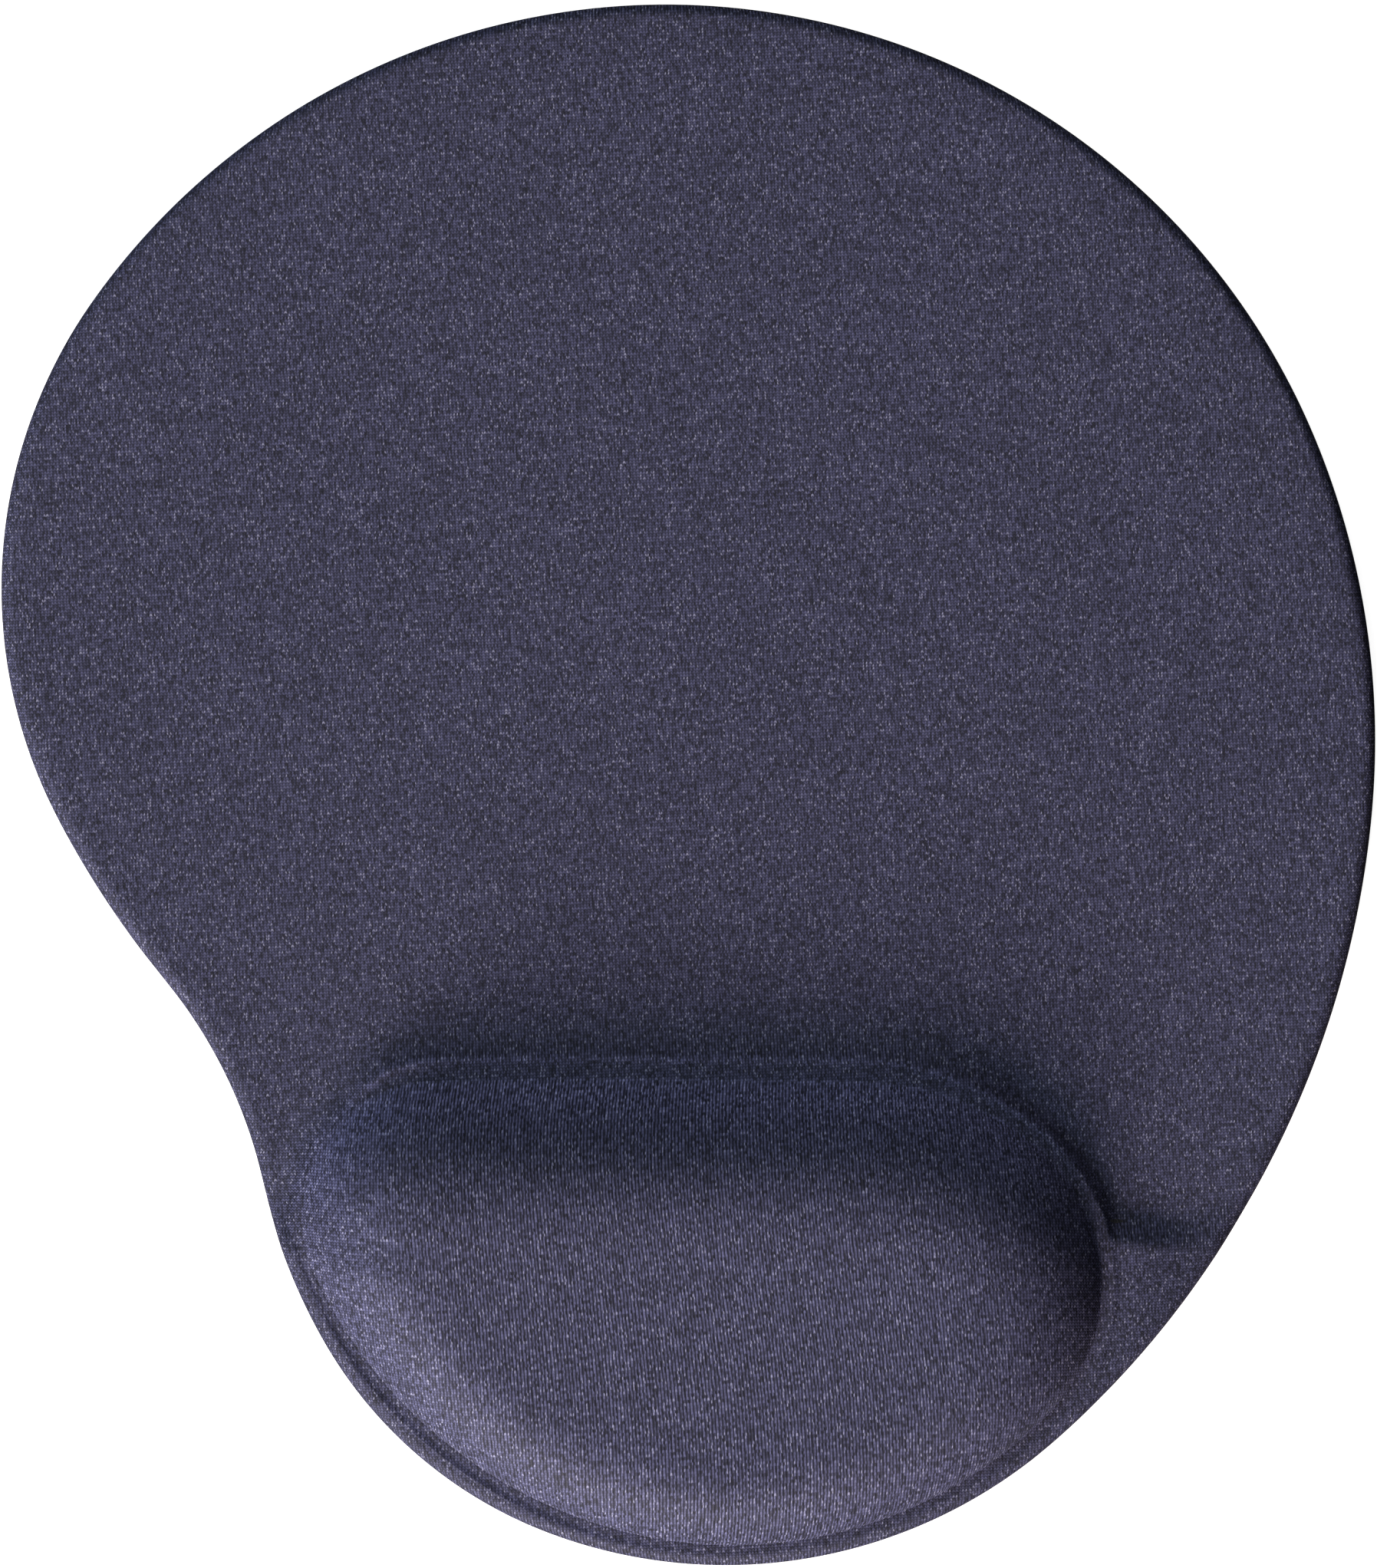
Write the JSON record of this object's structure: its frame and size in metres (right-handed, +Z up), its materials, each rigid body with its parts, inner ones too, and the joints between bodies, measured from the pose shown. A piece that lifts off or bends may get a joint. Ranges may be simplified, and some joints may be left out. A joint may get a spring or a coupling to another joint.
{
  "type": "mouse mat with gel wrist rest",
  "caption": "Teardrop mouse mat covered in stretch cloth, with a raised gel cushion for the wrist at its narrow end.",
  "frame": {"origin": "centre of the footprint, on the desk", "axes": "+Z up; +Y away from the user, along the length; +X to the user's right; the cushion is at the -Y end"},
  "size_m": [0.221, 0.2507, 0.021],
  "materials": {
    "cover_cloth": "fine knit stretch cloth, soft sheen",
    "backing_film": "smooth heat-bonded film",
    "pouch_film": "clear soft film",
    "gel": "clear soft gel with a faint blue tint",
    "adhesive": "dull dry adhesive film",
    "platform_foam": "dense moulded foam with a skin",
    "mat_foam": "fine closed-cell foam",
    "base_rubber": "matt non-slip texture"
  },
  "bodies": {
    "root": {"cover_cloth": "cover_cloth", "cover_backing_film": "backing_film", "gel_pouch_top_film": "pouch_film", "gel_core": "gel", "gel_pouch_bottom_film": "pouch_film", "pouch_adhesive": "adhesive", "rest_platform": "platform_foam", "mat_foam": "mat_foam", "base_adhesive": "adhesive", "base_sheet": "base_rubber"}
  },
  "joints": []
}
